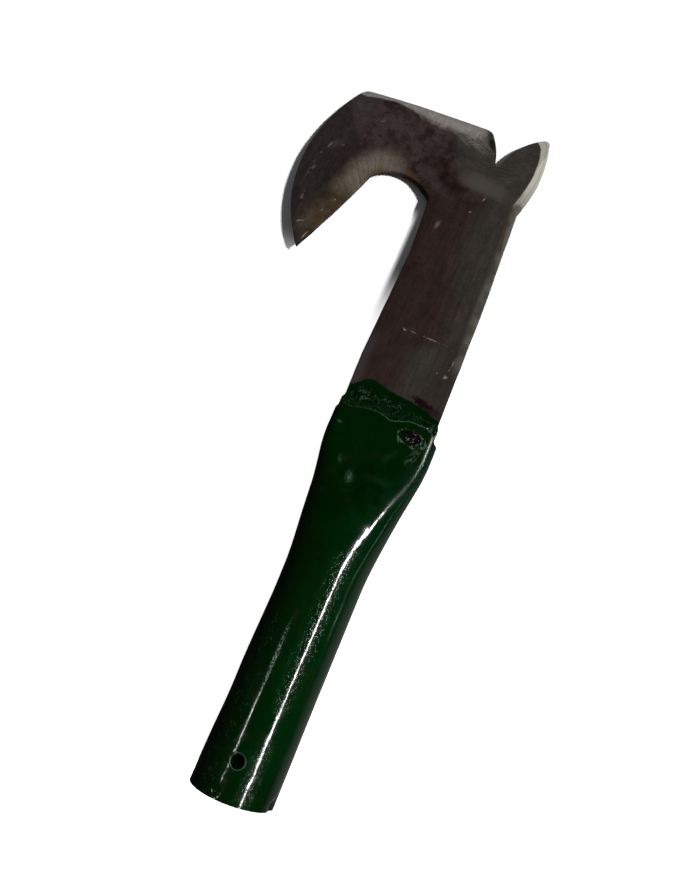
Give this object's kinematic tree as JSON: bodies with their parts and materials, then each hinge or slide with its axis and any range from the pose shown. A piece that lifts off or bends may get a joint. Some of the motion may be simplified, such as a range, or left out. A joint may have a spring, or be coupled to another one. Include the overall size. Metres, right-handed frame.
{
  "type": "billhook",
  "caption": "Hand-made billhook: hooked flat steel blade with a spur and a straight top edge, welded into the flattened end of an open pipe handle.",
  "frame": {"origin": "centre of the pipe handle's open mouth, on the pipe's axis", "axes": "+Y runs along the handle to the blade, +X to the spine side away from the hook, +Z out of the front face that shows the plug weld"},
  "size_m": [0.1118, 0.321, 0.034],
  "materials": {
    "blade_steel": "dark forge scale, worn and ground, bright where the edges are ground",
    "green_enamel": "gloss enamel, brushed on by hand",
    "weld_slag": "rough, unpainted weld metal and slag"
  },
  "bodies": {
    "root": {"blade": "blade_steel", "pipe_handle": "green_enamel", "mouth_weld_front": "green_enamel", "mouth_weld_back": "green_enamel", "plug_weld": "weld_slag"}
  },
  "joints": []
}
